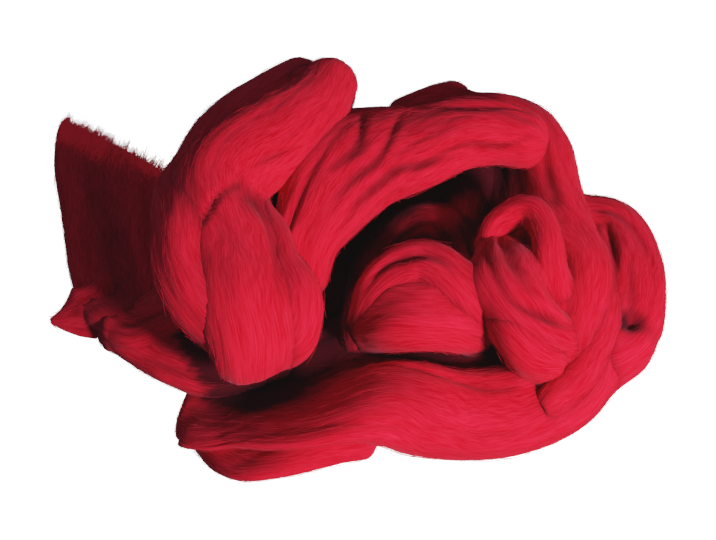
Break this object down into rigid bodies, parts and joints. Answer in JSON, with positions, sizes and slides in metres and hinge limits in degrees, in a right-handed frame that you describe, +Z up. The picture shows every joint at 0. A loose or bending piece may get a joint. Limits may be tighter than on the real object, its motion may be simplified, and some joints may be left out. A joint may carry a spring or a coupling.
{
  "type": "wool roving",
  "caption": "Loose heap of thick dyed wool roving, looped and folded over itself, with one flat torn end and a fringe of locks.",
  "frame": {"origin": "on the surface it lies on, under the middle of the heap's box", "axes": "+X along the heap's longest side, away from the torn end; +Y away from the long front band, towards the back; +Z up"},
  "size_m": [0.305, 0.236, 0.0909],
  "materials": {
    "wool": "matt, combed fibre with a soft sheen"
  },
  "bodies": {
    "root": {"roving": "wool", "torn_fringe": "wool"}
  },
  "joints": []
}
